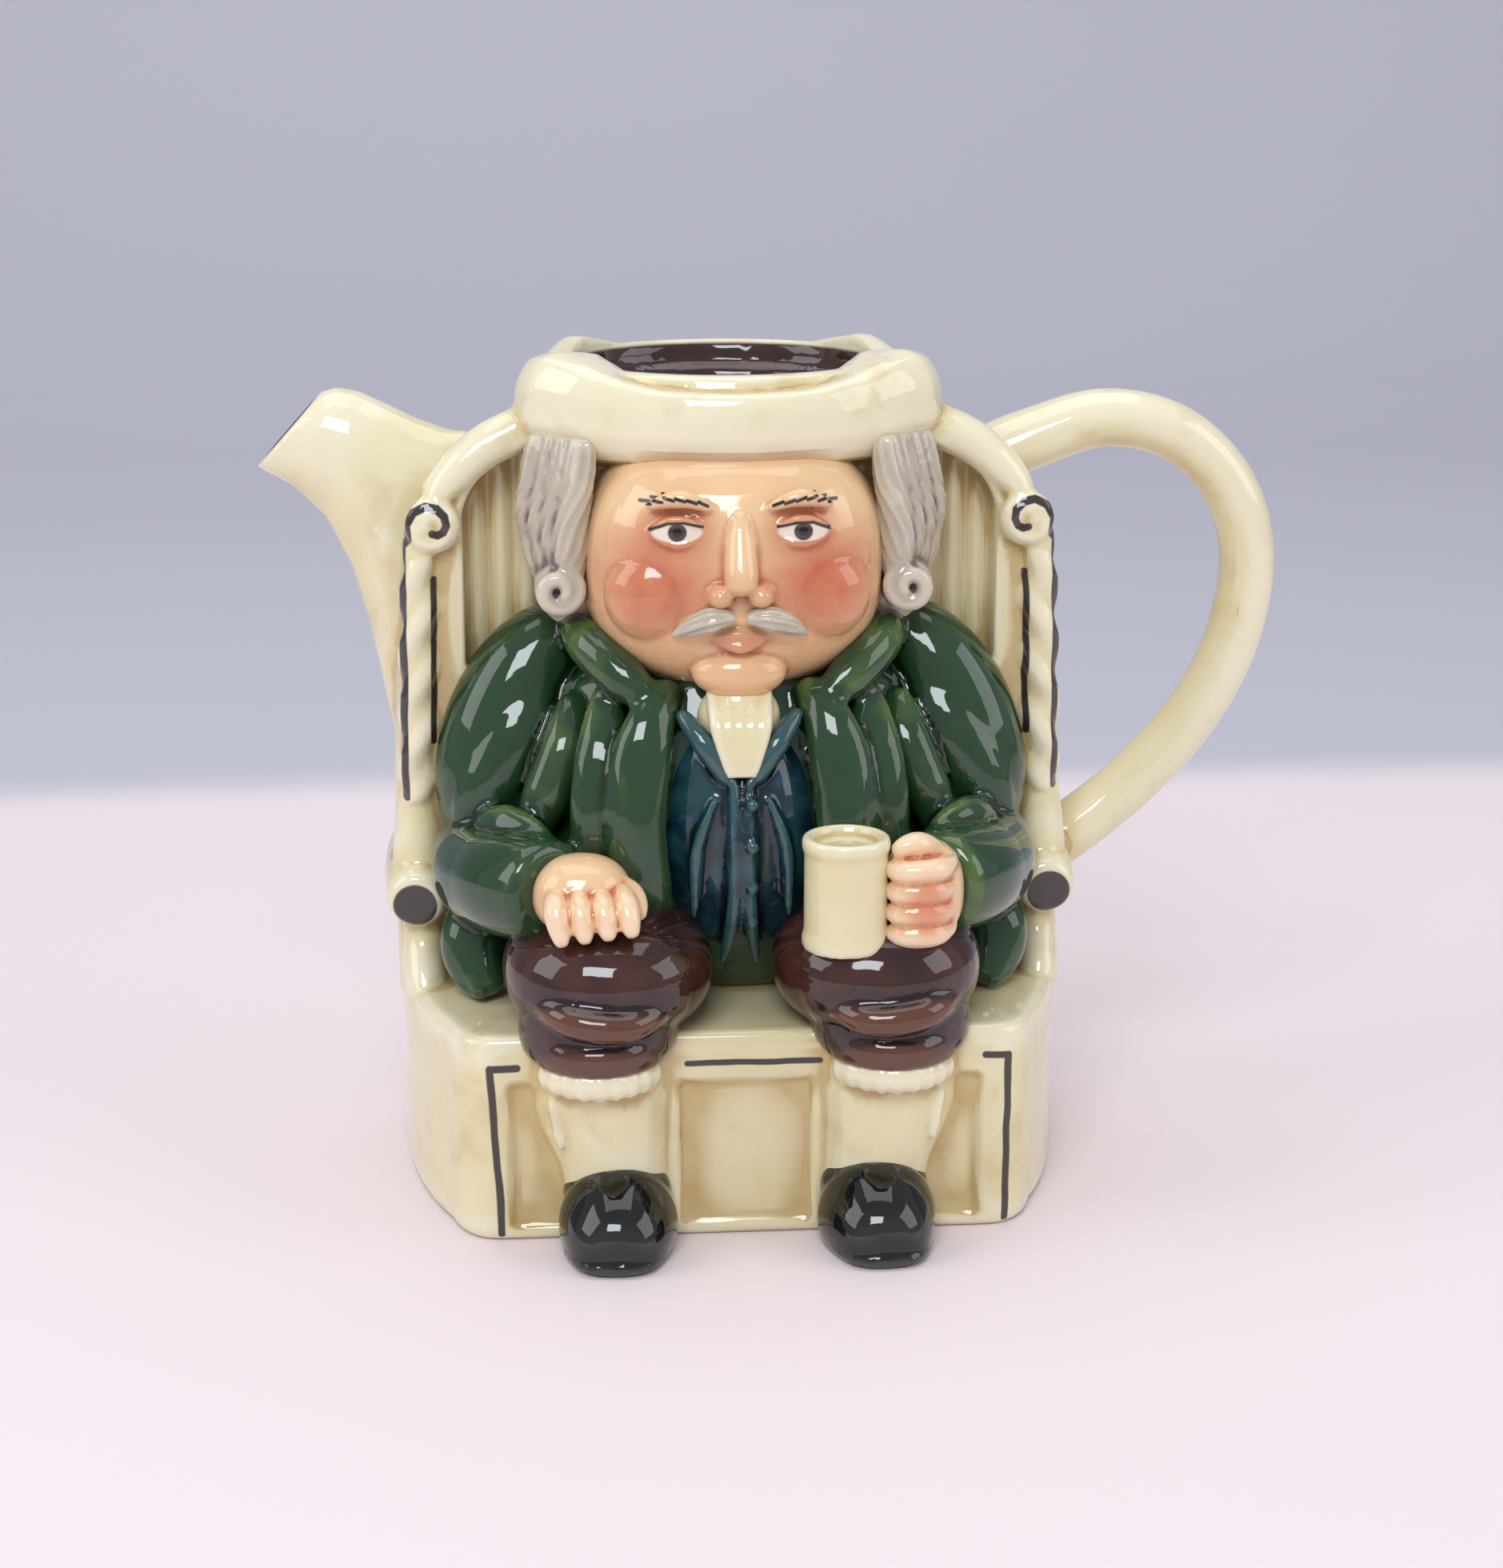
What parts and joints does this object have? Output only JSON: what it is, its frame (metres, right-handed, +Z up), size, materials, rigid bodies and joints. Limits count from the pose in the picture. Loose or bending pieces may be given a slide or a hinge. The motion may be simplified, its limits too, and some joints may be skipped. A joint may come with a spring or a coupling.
{
  "type": "toby jug, teapot form",
  "caption": "Seated toby figure cast as a hollow pot: high-backed armchair, cocked-hat rim, short spout and loop handle, lid missing.",
  "frame": {"origin": "middle of the flat underside", "axes": "+Z up, the figure faces -Y, the handle leaves towards +X and the spout towards -X"},
  "size_m": [0.2027, 0.1118, 0.1638],
  "materials": {
    "cream_glaze": "clear glossy lead glaze on cream earthenware, ochre pooled in the creases, black hand-painted lines, dark brown glaze inside",
    "green_glaze": "dark green coat, brushed, yellower where thin over edges, under glossy glaze",
    "teal_glaze": "mottled dark teal waistcoat under glossy glaze",
    "brown_glaze": "dark reddish-brown breeches under glossy glaze",
    "black_glaze": "black shoes under glossy glaze",
    "flesh_glaze": "peach skin with rubbed red cheeks and knuckles under glossy glaze",
    "grey_glaze": "grey brushed hair and moustache over cream under glossy glaze"
  },
  "bodies": {
    "root": {"toby_teapot": "cream_glaze"}
  },
  "joints": []
}
